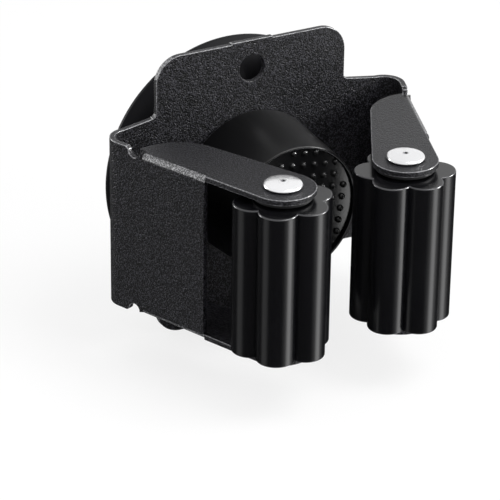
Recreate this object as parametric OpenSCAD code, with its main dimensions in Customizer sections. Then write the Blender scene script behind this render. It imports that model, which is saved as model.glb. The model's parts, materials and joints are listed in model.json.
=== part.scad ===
// Wall holder for a mop or broom pole. A folded steel bracket carries two lobed
// rubber rollers on rivets, and a screwed knob with a dotted rubber pad clamps
// the bracket to a round suction base. +Z is up, the front faces -Y, and the
// origin lies on the wall, on the axis of the round base.

/* [Sheet bracket] */
// Thickness of the steel sheet
sheet = 1.4; // [1:0.1:1.8]
// Twice the distance from the centre to the left side bend
bracket_w = 80; // [76:0.5:88]
// How much farther out the right side bend stands
right_out = 0.9; // [0:0.1:1.4]
// Outside radius of the side bends
bend_r = 5.1; // [4:0.1:6]
// Sideways lean of each side wall for each millimetre of its length
wall_lean = 0.352; // [0.3:0.004:0.372]
// Length of the left side wall past its bend
wall_len = 27.4; // [26:0.2:30]
// Length of the right side wall past its bend
right_wall_len = 29.6; // [26:0.2:32]
// Height of the side bends' top edge above the ears
bend_rise = 0.5; // [0.2:0.1:2]
// Depth of the side bends' bottom edge below the ears
bend_drop = 0.2; // [0.1:0.1:2]
// Rise of the upper shoulders from the bends to the tab
shoulder_rise = 1.5; // [0.5:0.1:3]
// Rise of the lower shoulders from the bends to the lower tab
shoulder_dip = 0.3; // [0.1:0.1:1]

/* [Tabs] */
// Width of the upper tab
tab_w = 52.3; // [46:0.5:58]
// Height of the upper tab above its shoulders
tab_rise = 14.8; // [13:0.1:18]
// Depth of the lower tab below its shoulders
tab_drop = 14.6; // [12:0.1:18]
// Distance from the centre to the lower tab's right end
tab_low_right = 22; // [20:0.5:26]
// Radius of the tabs' outer corners
tab_corner = 6.8; // [4:0.1:8]
// Radius in the corner between a tab and a shoulder
tab_fillet = 1; // [0.5:0.1:2]
// Width of the small land on the upper tab's edge
land_w = 11.4; // [6:0.2:16]
// Height of that land
land_h = 0.35; // [0.2:0.05:0.6]
// Radius of the screw hole
screw_r = 3.45; // [2:0.05:4]
// Height of the screw hole's centre above the shoulders
screw_rise = 7.8; // [7:0.1:9]

/* [Ears] */
// Depth of the lower ears' underside below the knob's axis
ear_low = 22.6; // [22:0.1:24]
// Inside radius of the fold between a wall and an ear
fold_in = 0.5; // [0.3:0.1:1]
// Distance from the side bend to the start of the ear's fold
fold_start = 8.1; // [7.6:0.1:9]
// Step between the left wall's outer face and its ears' free edge
ear_step = 0.3; // [0.1:0.1:1]
// Radius of the ears' rounded rear lobes
ear_rear_r = 12.8; // [11:0.1:14]
// Distance of a rear lobe's centre ahead of the side bend
ear_rear_s = 18.6; // [18:0.1:20]
// Reach of the left rear lobes in from the wall's outer face
ear_rear_in = 14.1; // [13:0.1:15]
// Reach of the right rear lobes in from the wall's outer face
right_rear_in = 12.1; // [11:0.1:15]
// Radius at the bottom of the relief notches
notch_r = 1.6; // [1:0.1:1.9]
// Depth of the relief notches
notch_depth = 2.3; // [2:0.1:3]
// Width of the relief notches at the mouth
notch_mouth = 4.8; // [4:0.1:5]
// Distance from the side bend to the middle of a notch
notch_s = 5.4; // [5:0.1:5.6]

/* [Rollers] */
// Distance of each roller's axis in from the bracket's side
roller_inset = 23.5; // [22.5:0.1:24]
// Distance of the rollers' axes ahead of the back plate's front face
roller_y = 44; // [42:0.1:46]
// Outside radius over the lobes
roller_r = 12.05; // [11:0.05:12.6]
// Radius of each lobe
lobe_r = 4.7; // [4.2:0.1:5.2]
// Number of lobes
lobes = 6; // [5:1:7]
// Length of the rubber sleeve
roller_len = 38; // [34:0.5:44]
// Length by which the core tube stands out of the rubber
core_over = 0.28; // [0.2:0.02:0.6]
// Turn of the left roller about its axis
turn_left = -8; // [-30:0.5:30]
// Turn of the right roller about its axis
turn_right = 34; // [0:0.5:60]
// Outside radius of the plastic core tube
core_r = 5; // [4.2:0.1:6]

/* [Rivets and washers] */
// Radius of the rivet's shank, the roller's axle
shank_r = 2.4; // [2:0.05:3]
// Radius of the rivet's polished head
head_r = 4.6; // [4.2:0.1:6]
// Height of the head's straight rim
head_rim = 0.5; // [0.3:0.05:0.8]
// Height of the head's dome above the rim
head_dome = 0.95; // [0.6:0.05:1.4]
// Radius of the rolled tail under the lower ear
tail_r = 4; // [3.6:0.1:5]
// Height of the rolled tail
tail_h = 1.2; // [0.8:0.1:1.8]
// Radius of the hollow in the tail
tail_bore = 1.4; // [1:0.1:1.6]
// Depth of the hollow in the tail
tail_depth = 5; // [3:0.5:10]
// Outside radius of the washer on a roller
washer_r = 7; // [6:0.1:8]
// Thickness of that washer
washer_t = 0.9; // [0.6:0.05:1]

/* [Knob and pad] */
// Radius of the knob where it meets the bracket
knob_root = 18.7; // [18:0.1:19.4]
// Radius of the knob at its front
knob_front = 17.3; // [17.1:0.1:17.8]
// Distance from the bracket's front face to the knob's front rim
knob_len = 21.7; // [20:0.1:22.5]
// Wall of the knob
knob_wall = 2; // [1.5:0.1:3]
// Edge radius of the knob's front rim
knob_edge = 0.4; // [0.2:0.1:0.5]
// Number of ribs inside the knob
knob_ribs = 6; // [4:1:10]
// Thickness of those ribs
rib_t = 1.6; // [1.2:0.1:2.4]
// Outside radius of the knob's centre boss
boss_r = 9.2; // [9:0.1:11]
// Radius of the rubber pad
pad_r = 16.7; // [15.5:0.1:16.8]
// Thickness of the rubber pad without its dots
pad_t = 2; // [1.6:0.1:2.5]
// Depth of the pad's face behind the knob's rim
pad_sink = 0.3; // [0.1:0.05:0.5]
// Spacing of the dots
dot_pitch = 3.08; // [2.6:0.02:4]
// Shift of the dots' grid off the pad's centre, both ways
dot_shift = 0.65; // [0:0.05:1]
// Radius of a dot
dot_r = 0.8; // [0.5:0.05:1.1]
// Turn of the knob and its dots about the axis
knob_turn = -7; // [-45:1:45]

/* [Suction base] */
// Distance from the wall to the back plate's front face
standoff = 14; // [13.5:0.1:16]
// Radius of the cover's outer rim
cover_r = 33.85; // [32:0.05:35]
// Wall of the cover
cover_wall = 2; // [1.6:0.1:2.6]
// Height of the cover's straight rim
cover_rim = 0.9; // [0.6:0.1:1.5]
// Width of the sloped ring inside the rim
cover_slope = 2.4; // [1.5:0.1:3.5]
// Radius of the cover's flat front
cover_flat = 20; // [18:0.5:24]
// Thickness of the suction pad at its rim
seal_t = 1.6; // [1.2:0.1:2]
// Setback of the suction pad's edge inside the cover's rim
seal_in = 2; // [1:0.1:2.6]
// Radius of the suction pad's centre boss
seal_boss_r = 12; // [11:0.5:14]
// Soft material between the suction pad's disc and the stud's flange
flange_floor = 0.8; // [0.5:0.1:1.2]
// Soft material that holds the flange from above
flange_lip = 1.2; // [0.8:0.1:1.6]
// Radius of the stud
stud_r = 4; // [3:0.1:4.5]
// Radius of the stud's flange inside the suction pad
flange_r = 9; // [8:0.5:10]
// Thickness of that flange
flange_t = 1.5; // [1.2:0.1:2]
// Length of the stud ahead of the bracket
stud_reach = 16; // [13:0.5:17]
// Width across the flats of the knob's nut
nut_flats = 13; // [12.5:0.1:13.5]
// Height of the knob's nut
nut_h = 6.5; // [5:0.5:8]

/* [Clearances] */
// Gap between faces that move past each other
run_gap = 0.3; // [0.2:0.05:0.5]
// Radial gap of a running fit
fit_gap = 0.05; // [0.02:0.01:0.09]
// Radial gap of a loose hole
hole_gap = 0.4; // [0.2:0.05:0.6]
// Radial gap of a pushed-together fit
push_gap = 0.02; // [0.01:0.01:0.05]

/* [Hidden] */
$fn = 96;

// Smallest step used to run a cutter past a face
over = 1;
// How far a straight side runs inside a round end that it meets
weld = 0.01;
// Angle by which each side wall leans in from square
toe_in = asin(wall_lean);
// Plate planes, measured out from the wall
plate_front = standoff;
plate_back = standoff - sheet;
// Centre of the left side bend, mirrored, and of the right one
bend_x = bracket_w / 2 - bend_r;
right_bend_x = bend_x + right_out;
bend_y = -plate_back - bend_r;
// Outer point where the mirrored left wall leaves its bend
wall_x = bend_x + bend_r * cos(toe_in);
wall_y = bend_y - bend_r * sin(toe_in);
// Outside radius of the fold between wall and ear
fold_r = fold_in + sheet;
// Roller axis in the frame
roller_x = bracket_w / 2 - roller_inset;
axis_y = -plate_front - roller_y;
// Radius of the ears' round tips, which the left ear's free edge meets
tip_r = -axle(0)[1] - ear_step + weld;
// Heights from the lower ear up, through roller and washer to the upper ear
over_low = sheet - ear_low;
roller_z = over_low + run_gap + push_gap;
core_len = roller_len + core_over;
washer_z = roller_z + core_len + run_gap / 2;
under_top = washer_z + washer_t + run_gap / 2;
ear_top = under_top + sheet;
// Heights of the plate's edges
bend_top = ear_top + bend_rise;
bend_low = ear_low + bend_drop;
shoulder_top = bend_top + shoulder_rise;
shoulder_low = bend_low - shoulder_dip;
tab_top = shoulder_top + tab_rise;
tab_low = shoulder_low + tab_drop;
screw_z = shoulder_top + screw_rise;
// Radii from the axles out
shank_hole = shank_r + fit_gap;
lobe_at = roller_r - lobe_r;
// Knob and pad stations, measured out from the wall
knob_back = plate_front + run_gap;
knob_face = plate_front + knob_len;
pad_face = knob_face - pad_sink;
pad_back = pad_face - pad_t;
nut_back = plate_front + stud_reach - nut_h - over;
stud_tip = plate_front + stud_reach;
// Base stations, measured out from the wall
flange_back = seal_t + flange_floor;
flange_front = flange_back + flange_t;
seal_boss = flange_front + flange_lip;
slope_top = seal_t + cover_rim + cover_slope;
cover_step = cover_r - cover_slope;

// Roller axis in the plane of a wall that stands out by so much
function axle(out) =
    let(across = roller_x - wall_x - out, ahead = axis_y - wall_y)
    [-across * sin(toe_in) - ahead * cos(toe_in), across * cos(toe_in) - ahead * sin(toe_in)];

// Turns a shape drawn around Z so that it stands out from the wall
module from_wall() rotate([90, 0, 0]) children();

// Places a shape in the plane of a right-hand wall: X along the wall, Y outward
module at_wall(out)
    translate([bend_x + out, bend_y, 0])
        rotate([0, 0, -90 - toe_in]) translate([0, bend_r, 0]) children();

// A tab from its root up to its edge, with two round corners
module tab_outline(left, right, root, edge) {
    translate([left, root]) square([right - left, edge - tab_corner - root]);
    translate([left + tab_corner, root])
        square([right - left - 2 * tab_corner, edge - root]);
    for (x = [left + tab_corner, right - tab_corner])
        translate([x, edge - tab_corner]) circle(r = tab_corner);
}

// The small round between a tab's side and a shoulder
module tab_root_fillet(x, z, way) {
    translate([x, z])
        difference() {
            translate([way < 0 ? -tab_fillet : 0, -tab_fillet]) square([tab_fillet, 2 * tab_fillet]);
            translate([way * tab_fillet, tab_fillet]) circle(r = tab_fillet);
        }
}

module upper_edge() {
    tab_outline(-tab_w / 2, tab_w / 2, 0, tab_top);
    translate([-land_w / 2, 0]) square([land_w, tab_top + land_h]);
    tab_root_fillet(tab_w / 2, shoulder_top, 1);
    tab_root_fillet(-tab_w / 2, shoulder_top, -1);
}

module lower_edge() {
    mirror([0, 1]) {
        tab_outline(-tab_w / 2, tab_low_right, 0, tab_low);
        tab_root_fillet(tab_low_right, shoulder_low, 1);
        tab_root_fillet(-tab_w / 2, shoulder_low, -1);
    }
}

// Front outline of the flat back plate
module plate_outline() {
    polygon([
        [-bend_x, -bend_low], [-tab_w / 2, -shoulder_low],
        [tab_low_right, -shoulder_low], [tab_w / 2, -shoulder_low],
        [right_bend_x, -bend_low], [right_bend_x, bend_top], [tab_w / 2, shoulder_top],
        [-tab_w / 2, shoulder_top], [-bend_x, bend_top]
    ]);
    upper_edge();
    lower_edge();
}

module back_plate() {
    from_wall()
        difference() {
            translate([0, 0, plate_back]) linear_extrude(sheet) plate_outline();
            translate([0, screw_z, plate_back - over]) cylinder(r = screw_r, h = sheet + 2 * over);
            translate([0, 0, plate_back - over])
                cylinder(r = stud_r + hole_gap, h = sheet + 2 * over);
        }
}

module side_bend(out) {
    high = bend_low + bend_top;
    reach = 2 * bend_r;
    translate([bend_x + out, bend_y, -bend_low])
        difference() {
            cylinder(r = bend_r, h = high);
            translate([0, 0, -over]) cylinder(r = bend_r - sheet, h = high + 2 * over);
            translate([-reach, -reach, -over]) cube([reach, 2 * reach, high + 2 * over]);
            rotate([0, 0, -toe_in])
                translate([-reach, -reach, -over]) cube([2 * reach, reach, high + 2 * over]);
        }
}

// One relief notch, drawn with its mouth at zero height
module notch() {
    translate([0, notch_r - notch_depth]) circle(r = notch_r);
    polygon([
        [-notch_r, notch_r - notch_depth], [notch_r, notch_r - notch_depth],
        [notch_mouth / 2, 0], [notch_mouth / 2, over], [-notch_mouth / 2, over],
        [-notch_mouth / 2, 0]
    ]);
}

// Side wall in its own plane: length along X, height along Y
module wall_outline(len) {
    difference() {
        union() {
            translate([0, -bend_low]) square([fold_start, bend_low + bend_top]);
            translate([fold_start, fold_r - ear_low])
                square([len - fold_start, ear_low + ear_top - 2 * fold_r]);
        }
        translate([notch_s, bend_top]) notch();
        translate([notch_s, -bend_low]) mirror([0, 1]) notch();
    }
}

// Quarter-round fold along a wall's edge
module fold(len) {
    translate([fold_start, -fold_r, -fold_r])
        rotate([90, 0, 90])
            linear_extrude(len - fold_start)
                intersection() {
                    difference() {
                        circle(r = fold_r);
                        circle(r = fold_in);
                    }
                    square(fold_r);
                }
}

// Ear outline in the wall's frame: round rear lobe, round tip, straight sides
module ear_outline(axle, len, reach) {
    lobe = [ear_rear_s, ear_rear_r - reach];
    span = axle - lobe;
    side = atan2(span[1], span[0]) + asin((ear_rear_r - tip_r) / norm(span));
    square_off = [sin(side), -cos(side)];
    edge = axle[1] + tip_r - weld;
    intersection() {
        union() {
            translate(lobe) circle(r = ear_rear_r);
            translate(axle) circle(r = tip_r);
            polygon([
                lobe + (ear_rear_r - weld) * square_off, axle + (tip_r - weld) * square_off,
                axle, [axle[0], edge], [lobe[0], edge], lobe
            ]);
        }
        union() {
            translate([0, -2 * ear_rear_r - fold_r]) square([len, 2 * ear_rear_r]);
            translate([len, -3 * ear_rear_r]) square([axle[0], 3 * ear_rear_r + edge]);
        }
    }
}

// A fold and the ear that it carries
module folded_ear(out, len, reach) {
    fold(len);
    translate([0, 0, -sheet]) linear_extrude(sheet) ear_outline(axle(out), len, reach);
}

// A side of the bracket: its bend, its leaning wall and two ears
module side(out, len, reach) {
    side_bend(out);
    at_wall(out) {
        rotate([90, 0, 0]) linear_extrude(sheet) wall_outline(len);
        translate([0, 0, ear_top]) folded_ear(out, len, reach);
        translate([0, 0, -ear_low]) mirror([0, 0, 1]) folded_ear(out, len, reach);
    }
}

// One steel sheet: back plate, two leaning walls and four ears
module bracket() {
    color("#26262a")
        difference() {
            union() {
                back_plate();
                side(right_out, right_wall_len, right_rear_in);
                mirror([1, 0, 0]) side(0, wall_len, ear_rear_in);
            }
            for (x = [-roller_x, roller_x])
                translate([x, axis_y, -ear_low - over])
                    cylinder(r = shank_hole, h = ear_low + ear_top + 2 * over);
        }
}

// Dished plastic cover: rim, sloped ring, cone and flat front
module base_cover() {
    color("#1e1e22")
        from_wall() rotate_extrude()
            polygon([
                [cover_r, seal_t], [cover_r, seal_t + cover_rim], [cover_step, slope_top],
                [cover_flat, plate_back], [stud_r + hole_gap, plate_back],
                [stud_r + hole_gap, plate_back - cover_wall],
                [cover_flat - cover_wall / 2, plate_back - cover_wall],
                [cover_step - cover_wall, slope_top - cover_wall / 2],
                [cover_r - cover_wall - cover_rim, seal_t]
            ]);
}

// Soft disc on the wall, with a boss around the stud's flange
module suction_pad() {
    color("#3a3a3e")
        from_wall() difference() {
            union() {
                cylinder(r = cover_r - seal_in, h = seal_t);
                cylinder(r = seal_boss_r, h = seal_boss);
            }
            translate([0, 0, flange_back]) cylinder(r = flange_r, h = flange_t);
            translate([0, 0, flange_front]) cylinder(r = stud_r, h = seal_boss);
        }
}

// Threaded stud with the round flange that the soft disc holds
module stud() {
    color("silver")
        from_wall() {
            translate([0, 0, flange_back]) cylinder(r = flange_r, h = flange_t);
            translate([0, 0, flange_back]) cylinder(r = stud_r, h = stud_tip - flange_back - 1);
            translate([0, 0, stud_tip - 1]) cylinder(r1 = stud_r, r2 = stud_r - 1, h = 1);
        }
}

// Outline of the knob's shell, drawn from its axis outward
module knob_shell() {
    difference() {
        union() {
            polygon([
                [0, knob_back], [knob_root, knob_back],
                [knob_front, knob_face - knob_edge], [0, knob_face - knob_edge]
            ]);
            translate([0, knob_face - knob_edge]) square([knob_front - knob_edge, knob_edge]);
            intersection() {
                translate([knob_front - knob_edge, knob_face - knob_edge]) circle(r = knob_edge);
                square(2 * knob_face);
            }
        }
        polygon([
            [0, knob_back - over], [knob_root - knob_wall, knob_back - over],
            [knob_front - knob_wall, pad_back - knob_wall], [0, pad_back - knob_wall]
        ]);
        translate([0, pad_back]) square([pad_r + push_gap, knob_face]);
    }
}

module knob_rib(angle) {
    depth = pad_back - knob_wall / 2 - knob_back - over;
    start = boss_r - rib_t;
    rotate([0, 0, angle])
        translate([start, -rib_t / 2, knob_back + over])
            cube([knob_front - knob_wall / 2 - start, rib_t, depth]);
}

// Screw-on knob: tapered cup with ribs and a boss around its nut
module knob() {
    color("#1b1b1f")
        from_wall() rotate([0, 0, knob_turn]) {
            difference() {
                union() {
                    rotate_extrude() knob_shell();
                    translate([0, 0, knob_back]) cylinder(r = boss_r, h = pad_back - knob_wall / 2 - knob_back);
                    for (i = [0:knob_ribs - 1]) knob_rib(360 * i / knob_ribs);
                }
                translate([0, 0, knob_back - over])
                    cylinder(r = stud_r + hole_gap, h = stud_reach + 2 * over);
                translate([0, 0, nut_back])
                    cylinder(r = nut_flats / 2 / cos(30) + push_gap, h = nut_h, $fn = 6);
            }
        }
}

// Hexagon nut set in the knob's boss
module knob_nut() {
    color("silver")
        from_wall() rotate([0, 0, knob_turn])
            translate([0, 0, nut_back]) difference() {
                cylinder(r = nut_flats / 2 / cos(30), h = nut_h, $fn = 6);
                translate([0, 0, -over]) cylinder(r = stud_r + fit_gap, h = nut_h + 2 * over);
            }
}

// Rubber pad with a square grid of round dots
module grip_pad() {
    n = ceil(pad_r / dot_pitch);
    stations = [for (i = [-n:n]) i * dot_pitch + dot_shift];
    color("#101012")
        from_wall() rotate([0, 0, knob_turn]) {
            translate([0, 0, pad_back]) cylinder(r = pad_r, h = pad_t);
            for (x = stations, y = stations)
                if (norm([x, y]) < pad_r - dot_r)
                    translate([x, y, pad_face])
                        intersection() {
                            sphere(r = dot_r, $fn = 24);
                            translate([-dot_r, -dot_r, -dot_r / 4]) cube(2 * dot_r);
                        }
        }
}

// Domed head, shank and rolled hollow tail, turned around the axle
module rivet(x) {
    dome = (pow(head_r, 2) + pow(head_dome, 2)) / (2 * head_dome);
    rim = ear_top + head_rim;
    foot = -ear_low - tail_h;
    translate([x, axis_y, 0]) {
        rotate_extrude()
            polygon([
                [0, rim], [head_r, rim], [head_r, ear_top], [shank_r, ear_top],
                [shank_r, -ear_low], [tail_r, -ear_low], [tail_r - tail_h / 2, foot],
                [tail_r - tail_h, foot], [tail_bore, foot + tail_h],
                [tail_bore, foot + tail_depth], [0, foot + tail_depth]
            ]);
        translate([0, 0, rim])
            intersection() {
                translate([0, 0, head_dome - dome]) sphere(r = dome);
                cylinder(r = head_r, h = head_dome);
            }
    }
}

module rivet_left() color("#e8e8ea") rivet(-roller_x);
module rivet_right() color("#e8e8ea") rivet(roller_x);

module washer(x) {
    translate([x, axis_y, washer_z]) difference() {
        cylinder(r = washer_r, h = washer_t);
        translate([0, 0, -over]) cylinder(r = shank_hole, h = washer_t + 2 * over);
    }
}

module washer_left() color("#141416") washer(-roller_x);
module washer_right() color("#141416") washer(roller_x);

// Plastic tube that turns on the rivet's shank inside the rubber
module core(x) {
    translate([x, axis_y, roller_z]) difference() {
        cylinder(r = core_r, h = core_len);
        translate([0, 0, -over]) cylinder(r = shank_hole, h = core_len + 2 * over);
    }
}

module core_left() color("#18181a") core(-roller_x);
module core_right() color("#18181a") core(roller_x);

// Lobed outline of the rubber sleeve, a lobe on each corner of a polygon
module sleeve_outline() {
    corners = [for (i = [0:lobes - 1]) lobe_at * [cos(360 * i / lobes), sin(360 * i / lobes)]];
    difference() {
        union() {
            for (c = corners) translate(c) circle(r = lobe_r);
            polygon(corners);
        }
        circle(r = core_r + push_gap);
    }
}

// Lobed rubber sleeve pushed onto its core tube
module roller(x, turn) {
    translate([x, axis_y, roller_z]) rotate([0, 0, turn])
        linear_extrude(roller_len) sleeve_outline();
}

module roller_left() color("#161618") roller(-roller_x, turn_left);
module roller_right() color("#161618") roller(roller_x, turn_right);

bracket();
base_cover();
suction_pad();
stud();
knob();
knob_nut();
grip_pad();
rivet_left();
rivet_right();
washer_left();
washer_right();
core_left();
core_right();
roller_left();
roller_right();
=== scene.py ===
import json
import math

import bmesh
import bpy
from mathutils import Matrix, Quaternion, Vector


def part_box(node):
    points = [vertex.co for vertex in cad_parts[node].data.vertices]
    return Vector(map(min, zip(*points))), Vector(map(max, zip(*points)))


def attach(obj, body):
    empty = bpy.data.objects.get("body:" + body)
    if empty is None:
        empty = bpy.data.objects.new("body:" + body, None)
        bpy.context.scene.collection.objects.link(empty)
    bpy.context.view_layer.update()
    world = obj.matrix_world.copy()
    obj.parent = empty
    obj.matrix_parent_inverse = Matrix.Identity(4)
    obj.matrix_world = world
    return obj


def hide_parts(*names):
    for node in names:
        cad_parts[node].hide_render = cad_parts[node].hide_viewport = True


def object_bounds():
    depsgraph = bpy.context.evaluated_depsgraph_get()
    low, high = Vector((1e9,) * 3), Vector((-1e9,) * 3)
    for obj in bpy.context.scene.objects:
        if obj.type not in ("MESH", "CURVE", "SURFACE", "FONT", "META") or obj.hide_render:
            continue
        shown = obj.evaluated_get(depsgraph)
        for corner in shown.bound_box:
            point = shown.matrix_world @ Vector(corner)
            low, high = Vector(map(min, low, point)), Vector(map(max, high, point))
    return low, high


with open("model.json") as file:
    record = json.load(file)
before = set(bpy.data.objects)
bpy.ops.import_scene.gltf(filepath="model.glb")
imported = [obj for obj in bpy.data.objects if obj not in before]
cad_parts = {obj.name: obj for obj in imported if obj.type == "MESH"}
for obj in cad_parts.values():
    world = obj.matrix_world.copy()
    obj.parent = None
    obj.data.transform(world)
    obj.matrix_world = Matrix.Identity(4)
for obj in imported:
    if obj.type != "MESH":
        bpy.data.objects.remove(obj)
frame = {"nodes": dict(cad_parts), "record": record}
cad_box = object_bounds()
nodes = frame["nodes"]
body_of_node = {
    name: body
    for body, names in frame["record"]["behaviour"]["bodies"].items()
    for name in names
}

MM = 0.001
ACROSS, BACK, UP = Vector((1, 0, 0)), Vector((0, 1, 0)), Vector((0, 0, 1))

# Camera, matched to the photograph
CAMERA_PLACE = (-0.29978, -0.54123, 0.28104)
CAMERA_AIM = (-0.014695, -0.040, -0.004538)
CAMERA_ROLL = math.radians(0.80)
CAMERA_LENS = 194.9
CAMERA_SENSOR = 36
CAMERA_CLIP = (0.01, 20)

# Floor, and the sky's light on matt surfaces
FLOOR_HEIGHT = cad_box[0].z - 0.05 * MM
FLOOR_REACH = 3.0
FLOOR_GLOW = 0.8
SKY_LIGHT = 0.75

# Tent that gloss sees: its profile as radius and height, its own light, and its bright strips as
# bearing, half width in degrees and light
TENT_PROFILE = ((0.02, -0.6), (0.6, -0.6), (0.6, -0.09))
TENT_SIDES = 96
TENT_LIGHT = 0.035
FRONT_STRIP = (0.65, -0.76, 0)
LEFT_STRIP = (-0.998, 0.06, 0)
TENT_STRIPS = ((FRONT_STRIP, 18, 3.0), (FRONT_STRIP, 42, 0.75), (LEFT_STRIP, 24, 0.6))
STRIP_CORE = 3

# Dark card under the object
CARD_REACH = 34 * MM
CARD_DEPTH = 62 * MM

# Welding and flattening of the CAD forms, and the angle in degrees from which an edge is sharp
WELD = 0.002 * MM
FLAT_ANGLE = 0.2
SHARP_ANGLE = 38
END_SLACK = 0.01 * MM

# Edge rounds in millimetres
ROUND_STEPS = 2
SHEET_EDGE = 0.18
COVER_EDGE = 0.12
KNOB_EDGE = 0.12
SEAL_EDGE = 0.3
ROLLER_EDGE = 0.32
WASHER_EDGE = 0.15
CORE_EDGE = 0.2
METAL_EDGE = 0.12

# Ear faces, and the line ahead of which the sheet stands no higher than they do
EAR_TOP = 20.0 * MM
EAR_LOW = -22.6 * MM
EAR_ROOT = -26.5 * MM

# Corners at the ear roots, in millimetres: slack of the ear faces, round of the folds, width of
# the fold's band along the outer face, and fall of what lies inside it
EAR_SLACK = 0.05
FOLD_ROUND = 1.9
FOLD_BAND = 0.7
ROOT_FALL = 0.1

# Side walls: centre and round of the bends in millimetres, outward direction, and how far the
# right one stands out
BEND_AT = (34.9, -17.7)
BEND_ROUND = 5.1
WALL_NORMAL = (0.936, -0.352)
RIGHT_OUT = 0.9

# Painted highlight on the folds: the sheet's finishes by number, and the reach, outward turn and slopes
# of a fold
COAT, PAINTED_FOLD_HIGHLIGHT = 0, 1
FOLD_REACH = 3 * MM
FOLD_OUTWARD = 0.2
FOLD_SLOPES = (0.25, 0.93)

# Places that get no painted highlight and stay as dark as the coat: the walls' front edges, the ear roots
# and the screw hole
WALL_FRONT = -30 * MM
FRONT_INSET = 1.6 * MM
ROOT_REACH = 1.2 * MM
ROOT_HEIGHT = EAR_TOP - 2.2 * MM
HOLE_UP = 29.8 * MM
HOLE_REACH = 4.4 * MM
PLATE_FRONT = -16 * MM

# Pad: radius of its crown, and in millimetres its rim's round and the dots' sizes and places
CROWN_RADIUS = 250 * MM
PAD_STEPS = 96
PAD_RIM = (0.1, 0.3)
PAD_RIM_FALL = 0.25
PAD_RINGS = (*range(15, 0, -2), 0)
DOT_R = 0.85
DOT_LIMIT = 16.0
DOT_PITCH = 3.08
DOT_SHIFT = (0.95, -0.1)
DOT_STEPS = 16
DOT_LIFTS = (-10, 15, 35, 55, 75, 90)
KNOB_TURN = -7

# Rivets, in millimetres: head with the fall of its dome, the round of its edge and the height of
# that round's centre over the ear, then shank and rolled tail
RIVET_STEPS = 64
HEAD_R = 4.6
HEAD_FALL = 0.55
HEAD_ROUND = 0.6
HEAD_LIFT = 0.42
SHANK_R = 2.4
TAIL_R = 4.0
TAIL_BORE = 1.4
TAIL_DEPTH = 5

# Painted shade on the rivets: its colour, the radius of the pit, and the band under the rim as height
# over the ear and half width, in millimetres
PAINTED_RIVET_SHADE = (0.012, 0.012, 0.014, 1)
PIT_R = 0.8
RIM_BAND = (0.1, 0.26)


def add_node(tree, kind, values=None, **settings):
    made = tree.nodes.new(kind)
    for key, value in settings.items():
        setattr(made, key, value)
    for key, value in (values or {}).items():
        made.inputs[key].default_value = value
    return made


def join(tree, source, target):
    tree.links.new(source, target)


def new_group(name, inputs, outputs):
    group = bpy.data.node_groups.new(name, "ShaderNodeTree")
    for label, kind, value in inputs:
        socket = group.interface.new_socket(label, in_out="INPUT", socket_type=kind)
        if value is not None:
            socket.default_value = value
    for label, kind in outputs:
        group.interface.new_socket(label, in_out="OUTPUT", socket_type=kind)
    return group, group.nodes.new("NodeGroupInput"), group.nodes.new("NodeGroupOutput")


def group_node(tree, group, values=None):
    return add_node(tree, "ShaderNodeGroup", values, node_tree=group)


def math_node(tree, operation, first, second, clamp=False):
    """A sum on two sockets or numbers."""
    made = add_node(tree, "ShaderNodeMath", operation=operation, use_clamp=clamp)
    for socket, value in zip(made.inputs, (first, second)):
        if isinstance(value, (int, float)):
            socket.default_value = value
        else:
            join(tree, value, socket)
    return made.outputs[0]


def level_part(tree, place):
    """A place or direction with its height taken out."""
    flat = add_node(tree, "ShaderNodeVectorMath", operation="MULTIPLY")
    flat.inputs[1].default_value = (1, 1, 0)
    join(tree, place, flat.inputs[0])
    return flat.outputs[0]


def powder_grain():
    """Orange-peel grain of a powder coat: small round bumps with fine dust on them."""
    dust_share = 1.2
    tree, start, end = new_group(
        "powder_grain",
        [("Place", "NodeSocketVector", None), ("Grains per metre", "NodeSocketFloat", 2900.0)],
        [("Height", "NodeSocketFloat"), ("Sparkle", "NodeSocketFloat")],
    )
    peel = add_node(tree, "ShaderNodeTexVoronoi", feature="SMOOTH_F1")
    peel.inputs["Smoothness"].default_value = 0.6
    dust = add_node(tree, "ShaderNodeTexNoise", {"Detail": 1.0, "Roughness": 0.5})
    for texture in (peel, dust):
        join(tree, start.outputs["Place"], texture.inputs["Vector"])
        join(tree, start.outputs["Grains per metre"], texture.inputs["Scale"])
    bumps = math_node(tree, "SUBTRACT", 1.0, peel.outputs["Distance"])
    mixed = math_node(tree, "MULTIPLY", dust.outputs["Fac"], dust_share)
    join(tree, math_node(tree, "ADD", bumps, mixed), end.inputs["Height"])
    spread = add_node(tree, "ShaderNodeMapRange", {"From Min": 0.49, "From Max": 0.61})
    join(tree, dust.outputs["Fac"], spread.inputs["Value"])
    join(tree, spread.outputs["Result"], end.inputs["Sparkle"])
    return tree


def moulded_skin():
    """Skin of a moulded piece: a fine matt grain, and slow patches of tone and gloss."""
    tree, start, end = new_group(
        "moulded_skin",
        [("Place", "NodeSocketVector", None), ("Grains per metre", "NodeSocketFloat", 2500.0)],
        [("Height", "NodeSocketFloat"), ("Patches", "NodeSocketFloat")],
    )
    fine = add_node(tree, "ShaderNodeTexNoise", {"Detail": 2.0, "Roughness": 0.5})
    join(tree, start.outputs["Place"], fine.inputs["Vector"])
    join(tree, start.outputs["Grains per metre"], fine.inputs["Scale"])
    slow = add_node(tree, "ShaderNodeTexNoise", {"Scale": 60.0, "Detail": 2.0, "Roughness": 0.5})
    join(tree, start.outputs["Place"], slow.inputs["Vector"])
    join(tree, fine.outputs["Fac"], end.inputs["Height"])
    join(tree, slow.outputs["Fac"], end.inputs["Patches"])
    return tree


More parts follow.
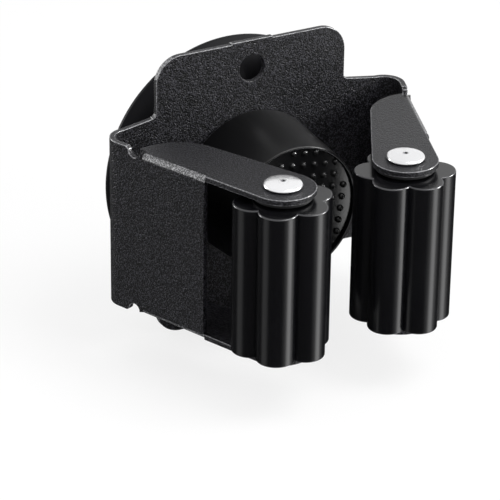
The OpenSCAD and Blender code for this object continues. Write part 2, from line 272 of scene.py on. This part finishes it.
def turned_rings():
    """Fine rings round an axle, as a polished or turned face has."""
    tree, start, end = new_group(
        "turned_rings",
        [
            ("Place", "NodeSocketVector", None),
            ("Axle", "NodeSocketVector", None),
            ("Rings per metre", "NodeSocketFloat", 9000.0),
        ],
        [("Height", "NodeSocketFloat"), ("Radius", "NodeSocketFloat")],
    )
    offset = add_node(tree, "ShaderNodeVectorMath", operation="SUBTRACT")
    join(tree, start.outputs["Place"], offset.inputs[0])
    join(tree, start.outputs["Axle"], offset.inputs[1])
    size = add_node(tree, "ShaderNodeVectorMath", operation="LENGTH")
    join(tree, level_part(tree, offset.outputs[0]), size.inputs[0])
    turns = math_node(tree, "MULTIPLY", size.outputs["Value"], start.outputs["Rings per metre"])
    rings = add_node(tree, "ShaderNodeTexNoise", {"Scale": 1.0, "Detail": 2.0}, noise_dimensions="1D")
    join(tree, turns, rings.inputs["W"])
    join(tree, rings.outputs["Fac"], end.inputs["Height"])
    join(tree, size.outputs["Value"], end.inputs["Radius"])
    return tree


GRAIN = powder_grain()
SKIN = moulded_skin()
RINGS = turned_rings()


def empty_material(name):
    made = bpy.data.materials.new(name)
    made.use_nodes = True
    made.node_tree.nodes.clear()
    return made, made.node_tree


def new_material(name):
    made, tree = empty_material(name)
    shader = add_node(tree, "ShaderNodeBsdfPrincipled")
    out = add_node(tree, "ShaderNodeOutputMaterial")
    join(tree, shader.outputs["BSDF"], out.inputs["Surface"])
    place = add_node(tree, "ShaderNodeTexCoord").outputs["Object"]
    return made, tree, shader, place


def ramp_between(tree, mask, low, high, target):
    """Runs a colour or a value from low to high by a mask."""
    if isinstance(low, tuple):
        made = add_node(tree, "ShaderNodeMix", data_type="RGBA")
        join(tree, mask, made.inputs["Factor"])
        made.inputs[6].default_value = (*low, 1)
        made.inputs[7].default_value = (*high, 1)
        join(tree, made.outputs[2], target)
    else:
        made = add_node(tree, "ShaderNodeMapRange", {"To Min": low, "To Max": high})
        join(tree, mask, made.inputs["Value"])
        join(tree, made.outputs["Result"], target)


def bump(tree, shader, height, depth_mm, strength):
    made = add_node(tree, "ShaderNodeBump", {"Strength": strength, "Distance": depth_mm * MM})
    join(tree, height, made.inputs["Height"])
    join(tree, made.outputs["Normal"], shader.inputs["Normal"])


def powder_coat(name, dark, light, rough, depth, gloss):
    """Black powder coat with a grain, whose bump tops are a little smoother than its pits."""
    pit_rough = 0.08
    made, tree, shader, place = new_material(name)
    grain = group_node(tree, GRAIN)
    join(tree, place, grain.inputs["Place"])
    ramp_between(tree, grain.outputs["Sparkle"], dark, light, shader.inputs["Base Color"])
    ramp_between(tree, grain.outputs["Height"], rough + pit_rough, rough, shader.inputs["Roughness"])
    bump(tree, shader, grain.outputs["Height"], depth, 1.0)
    shader.inputs["Specular IOR Level"].default_value = gloss
    return made


def moulded(name, dark, light, rough, rough_spread, depth, gloss, grains=2500.0):
    """Plastic or rubber as it leaves the mould."""
    made, tree, shader, place = new_material(name)
    skin = group_node(tree, SKIN, {"Grains per metre": grains})
    join(tree, place, skin.inputs["Place"])
    ramp_between(tree, skin.outputs["Patches"], dark, light, shader.inputs["Base Color"])
    ramp_between(tree, skin.outputs["Patches"], rough, rough + rough_spread, shader.inputs["Roughness"])
    bump(tree, shader, skin.outputs["Height"], depth, 0.6)
    shader.inputs["Specular IOR Level"].default_value = gloss
    return made


def free_of_painted_shade(tree, place, radius, pit):
    """1 on metal without painted shade, and 0 where shade is painted: in the pit round the axle and in
    the band under the head's rim.
    """
    beyond = add_node(
        tree, "ShaderNodeMapRange", {"From Min": pit * 0.5 * MM, "From Max": pit * MM + 1e-6}
    )
    join(tree, radius, beyond.inputs["Value"])
    height = add_node(tree, "ShaderNodeSeparateXYZ")
    join(tree, place, height.inputs[0])
    rim = math_node(tree, "COMPARE", height.outputs["Z"], EAR_TOP + RIM_BAND[0] * MM)
    rim.node.inputs[2].default_value = RIM_BAND[1] * MM if pit else 0.0
    return math_node(tree, "SUBTRACT", beyond.outputs["Result"], rim, clamp=True)


def polished(name, colour, dull, rough, axle, ring_depth, metal=1.0, pit=0.0):
    """Turned and polished metal: rings round its axle, dull patches, and, if it has a pit, painted shade
    in the pit and under the head's rim.
    """
    ring_rough = 0.1
    made, tree, shader, place = new_material(name)
    rings = group_node(tree, RINGS, {"Axle": axle})
    join(tree, place, rings.inputs["Place"])
    skin = group_node(tree, SKIN, {"Grains per metre": 3000.0})
    join(tree, place, skin.inputs["Place"])
    worn = math_node(tree, "MULTIPLY", skin.outputs["Patches"], rings.outputs["Height"])
    worn = math_node(tree, "MULTIPLY", worn, 2.0, clamp=True)
    tone = add_node(tree, "ShaderNodeMix", data_type="RGBA")
    ramp_between(tree, worn, colour, dull, tone.inputs[7])
    # Painted shade: a dark colour in the pit round the axle and in the band under the head's rim
    tone.inputs[6].default_value = PAINTED_RIVET_SHADE
    join(tree, free_of_painted_shade(tree, place, rings.outputs["Radius"], pit), tone.inputs["Factor"])
    join(tree, tone.outputs[2], shader.inputs["Base Color"])
    ramp_between(tree, rings.outputs["Height"], rough, rough + ring_rough, shader.inputs["Roughness"])
    bump(tree, shader, rings.outputs["Height"], ring_depth, 0.5)
    shader.inputs["Metallic"].default_value = metal
    return made


def axle_of(node):
    low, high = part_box(node)
    return ((low.x + high.x) / 2, (low.y + high.y) / 2, 0)


def rivet_steel(side):
    """Polished steel of one rivet, with its rings round that rivet's axle."""
    return polished(
        "rivet_" + side + "_steel", (0.94, 0.94, 0.95), (0.66, 0.66, 0.67), rough=0.14,
        axle=axle_of("rivet_" + side), ring_depth=0.035, metal=0.85, pit=PIT_R,
    )


FINISH = {
    "powder_coat": powder_coat(
        "powder_coat", (0.0015, 0.0015, 0.002), (0.036, 0.0355, 0.042), rough=0.36, depth=0.12, gloss=0.22
    ),
    # Lighter, glossier coat on the folds' outer rounds: a painted highlight
    "powder_fold_painted_highlight": powder_coat(
        "powder_fold_painted_highlight", (0.03, 0.03, 0.033), (0.25, 0.25, 0.26), rough=0.36, depth=0.12, gloss=0.7
    ),
    # Lighter, glossier coat on the sheet's edge rounds: a painted highlight
    "powder_edge_painted_highlight": powder_coat(
        "powder_edge_painted_highlight", (0.09, 0.09, 0.098), (0.26, 0.26, 0.27), rough=0.24, depth=0.01, gloss=0.8
    ),
    "cover_plastic": moulded(
        "cover_plastic", (0.005, 0.005, 0.006), (0.008, 0.008, 0.0095),
        rough=0.42, rough_spread=0.14, depth=0.004, gloss=0.07,
    ),
    "knob_plastic": moulded(
        "knob_plastic", (0.0014, 0.0014, 0.0017), (0.003, 0.003, 0.0035),
        rough=0.3, rough_spread=0.14, depth=0.004, gloss=0.24,
    ),
    # Lighter, glossier plastic on the knob's edge rounds: a painted highlight
    "knob_rim_painted_highlight": moulded(
        "knob_rim_painted_highlight", (0.10, 0.10, 0.105), (0.16, 0.16, 0.17),
        rough=0.24, rough_spread=0.1, depth=0.002, gloss=0.8,
    ),
    "core_plastic": moulded(
        "core_plastic", (0.005, 0.005, 0.006), (0.008, 0.008, 0.009),
        rough=0.42, rough_spread=0.12, depth=0.004, gloss=0.35,
    ),
    "soft_seal": moulded(
        "soft_seal", (0.012, 0.012, 0.014), (0.02, 0.02, 0.023),
        rough=0.5, rough_spread=0.2, depth=0.01, gloss=0.1,
    ),
    "pad_rubber": moulded(
        "pad_rubber", (0.003, 0.003, 0.0034), (0.008, 0.008, 0.0085),
        rough=0.16, rough_spread=0.12, depth=0.02, gloss=0.4, grains=1600.0,
    ),
    "roller_rubber": moulded(
        "roller_rubber", (0.002, 0.002, 0.0026), (0.004, 0.004, 0.005),
        rough=0.2, rough_spread=0.05, depth=0.002, gloss=0.42, grains=900.0,
    ),
    # Lighter, glossier rubber on the rollers' end rounds: a painted highlight
    "roller_edge_painted_highlight": moulded(
        "roller_edge_painted_highlight", (0.016, 0.016, 0.018), (0.036, 0.036, 0.04),
        rough=0.2, rough_spread=0.1, depth=0.002, gloss=0.55, grains=900.0,
    ),
    "zinc_steel": polished(
        "zinc_steel", (0.56, 0.57, 0.6), (0.46, 0.47, 0.48), rough=0.24, axle=(0, 0, 0), ring_depth=0.004
    ),
    "rivet_left": rivet_steel("left"),
    "rivet_right": rivet_steel("right"),
}


def clean_copy(node):
    """A CAD node's own form as one clean mesh, with its flat faces whole again."""
    made = bmesh.new()
    made.from_mesh(nodes[node].data)
    bmesh.ops.remove_doubles(made, verts=made.verts, dist=WELD)
    bmesh.ops.dissolve_limit(
        made, angle_limit=math.radians(FLAT_ANGLE), verts=made.verts, edges=made.edges, delimit={"NORMAL"}
    )
    return made


def sharp_edges(made, choose):
    """The sharp outer edges among those chosen."""
    found = []
    for edge in made.edges:
        if len(edge.link_faces) != 2 or not edge.is_convex:
            continue
        if edge.calc_face_angle(0) > math.radians(SHARP_ANGLE) and choose(edge):
            found.append(edge)
    return found


def mesh_from(name, made, materials):
    """The finished mesh of a form under work."""
    mesh = bpy.data.meshes.new(name)
    made.to_mesh(mesh)
    made.free()
    for material in materials:
        mesh.materials.append(material)
    return mesh


def add_object(name, data):
    made = bpy.data.objects.new(name, data)
    bpy.context.scene.collection.objects.link(made)
    return made


def finish_piece(made, name, node, materials):
    """A form under work as the piece that stands for a node."""
    mesh = mesh_from(name, made, materials)
    mesh.shade_smooth()
    mesh.set_sharp_from_angle(angle=math.radians(SHARP_ANGLE))
    piece = add_object(name, mesh)
    flat_faces = piece.modifiers.new("flat_faces_stay_flat", "WEIGHTED_NORMAL")
    flat_faces.keep_sharp = True
    flat_faces.weight = 80
    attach(piece, body_of_node[node])
    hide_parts(node)
    return piece


def softened(node, name, width, materials, choose=lambda edge: True, prepare=None, after=None):
    """A CAD node's form with its sharp outer edges rounded; the last material is the rounds'."""
    made = clean_copy(node)
    if prepare:
        prepare(made)
    bmesh.ops.bevel(
        made,
        geom=sharp_edges(made, choose),
        offset=width * MM,
        offset_type="OFFSET",
        segments=ROUND_STEPS,
        profile=0.5,
        affect="EDGES",
        clamp_overlap=False,
        material=len(materials) - 1,
    )
    if after:
        after(made)
    return finish_piece(made, name, node, materials)


def end_edges(node):
    """Test for the edges that lie in a node's top or bottom face."""
    low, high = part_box(node)

    def chosen(edge):
        heights = [vertex.co.z for vertex in edge.verts]
        return any(all(abs(z - end.z) < END_SLACK for z in heights) for end in (high, low))

    return chosen


def out_of_wall(place):
    """Distance of a point outward from the nearer side wall's outer face, in millimetres."""
    out = RIGHT_OUT if place.x > 0 else 0
    across = abs(place.x) / MM - BEND_AT[0] - out
    return across * WALL_NORMAL[0] + (place.y / MM - BEND_AT[1]) * WALL_NORMAL[1] - BEND_ROUND


def level_ear_roots(made):
    """Cuts the small corners beside the notches down to the rounds of the folds."""
    for vertex in made.verts:
        between = EAR_LOW - EAR_SLACK * MM < vertex.co.z < EAR_TOP + EAR_SLACK * MM
        if vertex.co.y > EAR_ROOT or between:
            continue
        fall = FOLD_ROUND if out_of_wall(vertex.co) > -FOLD_BAND else ROOT_FALL
        vertex.co.z = EAR_TOP - fall * MM if vertex.co.z > 0 else EAR_LOW + fall * MM


def is_fold(face, middle):
    """Whether a face of the sheet is part of a fold's outer round."""
    side = 1 if middle.x > 0 else -1
    outward = face.normal.x * side * WALL_NORMAL[0] + face.normal.y * WALL_NORMAL[1]
    near_ears = middle.z > EAR_TOP - FOLD_REACH or middle.z < EAR_LOW + FOLD_REACH
    return near_ears and outward > FOLD_OUTWARD and FOLD_SLOPES[0] < abs(face.normal.z) < FOLD_SLOPES[1]


def paint_fold_highlights(made):
    """Painted highlight on the folds; none, not even the edges' painted highlight, on the hole, the
    walls' front edges and the ear roots.
    """
    made.normal_update()
    for face in made.faces:
        middle = face.calc_center_median()
        # Faces of the folds' outer rounds take the painted highlight
        if face.material_index == COAT and is_fold(face, middle):
            face.material_index = PAINTED_FOLD_HIGHLIGHT
        at_front = middle.y < WALL_FRONT and EAR_LOW + FRONT_INSET < middle.z < EAR_TOP - FRONT_INSET
        at_root = abs(middle.y - EAR_ROOT) < ROOT_REACH and abs(middle.z) > ROOT_HEIGHT
        in_hole = math.hypot(middle.x, middle.z - HOLE_UP) < HOLE_REACH and middle.y > PLATE_FRONT
        # These places lose any painted highlight, on their edge rounds too
        if at_front or at_root or in_hole:
            face.material_index = COAT


def turned_faces(made, rings):
    """Faces between rings of points; a ring of one point is the tip."""
    steps = max(len(ring) for ring in rings)
    for upper, lower in zip(rings, rings[1:]):
        for step in range(steps):
            after = (step + 1) % steps
            corners = [upper[step % len(upper)], lower[step % len(lower)]]
            corners += [lower[after % len(lower)], upper[after % len(upper)]]
            made.faces.new(list(dict.fromkeys(corners)))


def ring_round(made, centre, radius, across, up, steps):
    """Points of a circle, or its centre alone where the radius is nothing."""
    if radius == 0:
        return [made.verts.new(centre)]
    turns = (2 * math.pi * step / steps for step in range(steps))
    return [
        made.verts.new(centre + (across * math.cos(turn) + up * math.sin(turn)) * radius * MM)
        for turn in turns
    ]


def round_dot(made, x, z, base):
    """Half ball on the pad at one place, with its skirt sunk a little under the face."""
    dome = []
    for lift in DOT_LIFTS:
        rise = math.radians(lift)
        radius = 0 if lift == 90 else DOT_R * math.cos(rise)
        centre = Vector((x * MM, base - DOT_R * MM * math.sin(rise), z * MM))
        dome.append(ring_round(made, centre, radius, ACROSS, UP, DOT_STEPS))
    turned_faces(made, dome)


def dot_places(radius):
    """Square grid of the dots within their limit, shifted, then turned on the knob's axis."""
    turn = math.radians(KNOB_TURN)
    reach = math.ceil(radius / DOT_PITCH)
    steps = [step * DOT_PITCH for step in range(-reach, reach + 1)]
    for u in [step + DOT_SHIFT[0] for step in steps]:
        for v in [step + DOT_SHIFT[1] for step in steps]:
            if math.hypot(u, v) < DOT_LIMIT:
                yield u * math.cos(turn) - v * math.sin(turn), u * math.sin(turn) + v * math.cos(turn)


def dotted_pad():
    """Crowned rubber disc with its grid of round dots."""
    made = bmesh.new()
    low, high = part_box("grip_pad")
    face = low.y + DOT_R * MM
    radius = (high.x - low.x) / 2 / MM

    def depth(r):
        return face + (r * MM) ** 2 / (2 * CROWN_RADIUS)

    rings = [ring_round(made, Vector((0, high.y, 0)), r, ACROSS, UP, PAD_STEPS) for r in (0, radius)]
    for r in (radius, *(radius - inset for inset in PAD_RIM), *PAD_RINGS):
        sunk = PAD_RIM_FALL * MM if r == radius else 0
        rings.append(ring_round(made, Vector((0, depth(r) + sunk, 0)), r, ACROSS, UP, PAD_STEPS))
    turned_faces(made, rings)
    for x, z in dot_places(radius):
        round_dot(made, x, z, depth(math.hypot(x, z)))
    bmesh.ops.recalc_face_normals(made, faces=made.faces)
    return finish_piece(made, "dotted_pad", "grip_pad", [FINISH["pad_rubber"]])


def revolved(node, name, profile, materials):
    """A turned piece in place of a node: its profile swept round the node's own axle."""
    axle = Vector(axle_of(node))
    made = bmesh.new()
    rings = [
        ring_round(made, axle + Vector((0, 0, z * MM)), r, ACROSS, BACK, RIVET_STEPS) for r, z in profile
    ]
    turned_faces(made, rings)
    bmesh.ops.recalc_face_normals(made, faces=made.faces)
    return finish_piece(made, name, node, materials)


def rivet_profile():
    """Polished head with a small centre dimple, shank, and rolled hollow tail."""
    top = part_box("rivet_left")[1].z / MM
    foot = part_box("rivet_left")[0].z / MM
    ear_top, ear_low = EAR_TOP / MM, EAR_LOW / MM
    dimple = [
        (0, top - 0.24), (0.3, top - 0.22), (0.42, top - 0.04),
        (0.6, top), (1.1, top - 0.03), (1.2, top - 0.08),
    ]
    dome = [(r, top - HEAD_FALL * (r / HEAD_R) ** 2) for r in (1.3, 1.35, 2.0, 2.7, 3.3, 3.8)]
    edge = [
        (HEAD_R - HEAD_ROUND * (1 - math.sin(a)), ear_top + HEAD_LIFT + HEAD_ROUND * math.cos(a))
        for a in (math.radians(d) for d in range(30, 136, 15))
    ]
    shank = [(3.4, ear_top), (SHANK_R, ear_top), (SHANK_R, ear_low)]
    tail = [
        (TAIL_R, ear_low), (3.9, foot + 0.5), (3.6, foot + 0.1), (3.1, foot), (2.6, foot + 0.1),
        (TAIL_BORE, foot + 1.2), (TAIL_BORE, foot + TAIL_DEPTH), (0, foot + TAIL_DEPTH),
    ]
    return dimple + dome + edge + shank + tail


# Sheet: painted highlights on its folds and on its edge rounds
softened(
    "bracket", "folded_bracket", SHEET_EDGE,
    [FINISH["powder_coat"], FINISH["powder_fold_painted_highlight"], FINISH["powder_edge_painted_highlight"]],
    prepare=level_ear_roots, after=paint_fold_highlights,
)
softened("base_cover", "dished_cover", COVER_EDGE, [FINISH["cover_plastic"]])
softened("suction_pad", "suction_disc", SEAL_EDGE, [FINISH["soft_seal"]])
softened("knob", "screw_knob", KNOB_EDGE, [FINISH["knob_plastic"], FINISH["knob_rim_painted_highlight"]])
dotted_pad()
for side in ("left", "right"):
    softened(
        "roller_" + side, "lobed_roller_" + side, ROLLER_EDGE,
        [FINISH["roller_rubber"], FINISH["roller_edge_painted_highlight"]], end_edges("roller_" + side),
    )
    softened("washer_" + side, "thin_washer_" + side, WASHER_EDGE, [FINISH["core_plastic"]])
    softened("core_" + side, "core_tube_" + side, CORE_EDGE, [FINISH["core_plastic"]])
    revolved("rivet_" + side, "domed_rivet_" + side, rivet_profile(), [FINISH["rivet_" + side]])
softened("stud", "flanged_stud", METAL_EDGE, [FINISH["zinc_steel"]])
softened("knob_nut", "hexagon_nut", METAL_EDGE, [FINISH["zinc_steel"]])


def only_for_gloss(thing):
    """Hides a thing of the studio from all rays but those of gloss."""
    thing.visible_camera = thing.visible_diffuse = False
    thing.visible_shadow = thing.visible_transmission = False


def studio_floor():
    """White floor whose shadows are faint: part of its white is its own glow, for the camera alone."""
    material, tree, shader, place = new_material("floor_paper")
    shader.inputs["Base Color"].default_value = (0.9, 0.9, 0.9, 1)
    shader.inputs["Roughness"].default_value = 1.0
    shader.inputs["Specular IOR Level"].default_value = 0.0
    glow = add_node(tree, "ShaderNodeEmission", {"Strength": 1.0})
    path = add_node(tree, "ShaderNodeLightPath")
    share = math_node(tree, "MULTIPLY", path.outputs["Is Camera Ray"], FLOOR_GLOW)
    blend = add_node(tree, "ShaderNodeMixShader")
    join(tree, share, blend.inputs[0])
    join(tree, shader.outputs["BSDF"], blend.inputs[1])
    join(tree, glow.outputs["Emission"], blend.inputs[2])
    out = next(node for node in tree.nodes if node.type == "OUTPUT_MATERIAL")
    join(tree, blend.outputs["Shader"], out.inputs["Surface"])
    made = bmesh.new()
    bmesh.ops.create_grid(made, x_segments=8, y_segments=8, size=FLOOR_REACH)
    floor = add_object("studio_floor", mesh_from("studio_floor", made, [material]))
    floor.location.z = FLOOR_HEIGHT
    floor.visible_glossy = False


def toward(tree, place, direction, edge_angle, full_angle):
    """1 in a strip of the tent round one bearing, fading to 0 at the strip's edge."""
    bearing = add_node(tree, "ShaderNodeVectorMath", operation="NORMALIZE")
    join(tree, level_part(tree, place), bearing.inputs[0])
    along = add_node(tree, "ShaderNodeVectorMath", operation="DOT_PRODUCT")
    join(tree, bearing.outputs[0], along.inputs[0])
    along.inputs[1].default_value = Vector(direction).normalized()
    strip = add_node(tree, "ShaderNodeMapRange", interpolation_type="SMOOTHSTEP")
    strip.inputs["From Min"].default_value = math.cos(math.radians(edge_angle))
    strip.inputs["From Max"].default_value = math.cos(math.radians(full_angle))
    join(tree, along.outputs["Value"], strip.inputs["Value"])
    return strip.outputs["Result"]


def reflection_tent():
    """A dark bowl round the object with bright strips, which only gloss sees."""
    material, tree = empty_material("tent_cloth")
    place = add_node(tree, "ShaderNodeTexCoord").outputs["Object"]
    light = TENT_LIGHT
    for bearing, edge_angle, strength in TENT_STRIPS:
        strip = toward(tree, place, bearing, edge_angle, STRIP_CORE)
        light = math_node(tree, "ADD", math_node(tree, "MULTIPLY", strip, strength), light)
    glow = add_node(tree, "ShaderNodeEmission")
    join(tree, light, glow.inputs["Strength"])
    out = add_node(tree, "ShaderNodeOutputMaterial")
    join(tree, glow.outputs["Emission"], out.inputs["Surface"])
    made = bmesh.new()
    rings = [
        ring_round(made, Vector((0, 0, height)), radius / MM, ACROSS, BACK, TENT_SIDES)
        for radius, height in TENT_PROFILE
    ]
    turned_faces(made, rings)
    tent = add_object("reflection_tent", mesh_from("reflection_tent", made, [material]))
    only_for_gloss(tent)


def shade_card():
    """Dark card under the object, which only gloss sees: the object's own shade on the floor."""
    material, tree, shader, place = new_material("shade_cloth")
    shader.inputs["Base Color"].default_value = (0.01, 0.01, 0.01, 1)
    shader.inputs["Roughness"].default_value = 1.0
    made = bmesh.new()
    bmesh.ops.create_grid(made, x_segments=4, y_segments=4, size=0.5)
    bmesh.ops.scale(made, vec=(2 * CARD_REACH, CARD_DEPTH, 1), verts=made.verts)
    card = add_object("shade_card", mesh_from("shade_card", made, [material]))
    card.location = (0, -CARD_DEPTH / 2, FLOOR_HEIGHT)
    only_for_gloss(card)


def soft_box(name, place, aim, size, power, diffuse=True):
    """Square lamp at a place, turned to an aim; where diffuse is off, only gloss sees it."""
    lamp = bpy.data.lights.new(name, "AREA")
    lamp.shape = "RECTANGLE"
    lamp.size = lamp.size_y = size
    lamp.energy = power
    box = add_object(name, lamp)
    box.location = place
    box.rotation_mode = "QUATERNION"
    box.rotation_quaternion = (Vector(aim) - Vector(place)).to_track_quat("-Z", "Y")
    box.visible_diffuse = diffuse


def studio_world():
    """White where the camera, gloss or glass sees it, and a plain grey light elsewhere."""
    world = bpy.data.worlds.new("studio_world")
    bpy.context.scene.world = world
    world.use_nodes = True
    tree = world.node_tree
    tree.nodes.clear()
    path = add_node(tree, "ShaderNodeLightPath")
    seen = math_node(tree, "MAXIMUM", path.outputs["Is Camera Ray"], path.outputs["Is Glossy Ray"])
    seen = math_node(tree, "MAXIMUM", seen, path.outputs["Is Transmission Ray"])
    strength = add_node(tree, "ShaderNodeMapRange", {"To Min": SKY_LIGHT, "To Max": 1.0})
    join(tree, seen, strength.inputs["Value"])
    sky = add_node(tree, "ShaderNodeBackground")
    sky.inputs["Color"].default_value = (1, 1, 1, 1)
    join(tree, strength.outputs["Result"], sky.inputs["Strength"])
    out = add_node(tree, "ShaderNodeOutputWorld")
    join(tree, sky.outputs["Background"], out.inputs["Surface"])


def camera():
    """The photograph's camera."""
    eye = bpy.data.cameras.new("camera")
    eye.lens = CAMERA_LENS
    eye.sensor_width = CAMERA_SENSOR
    eye.clip_start, eye.clip_end = CAMERA_CLIP
    made = add_object("camera", eye)
    place = Vector(CAMERA_PLACE)
    made.location = place
    made.rotation_mode = "QUATERNION"
    look = (Vector(CAMERA_AIM) - place).to_track_quat("-Z", "Y")
    made.rotation_quaternion = look @ Quaternion((0, 0, 1), CAMERA_ROLL)
    bpy.context.scene.camera = made


studio_floor()
reflection_tent()
shade_card()
studio_world()
soft_box("top_box", (0.22, -0.32, 0.62), (0, -0.04, 0), size=0.36, power=3.2)
soft_box("fold_box", (-1.8, 2.37, 0.4), (0, 0, 0), size=1.0, power=60.0, diffuse=False)
soft_box("front_box", (0.35, -0.8, 0.35), (0, -0.02, 0), size=0.3, power=2.2)
soft_box("dot_box", (0.7, -0.35, 0.3), (0, -0.04, 0), size=0.2, power=16.0, diffuse=False)
camera()
bpy.context.scene.view_settings.view_transform = "Standard"
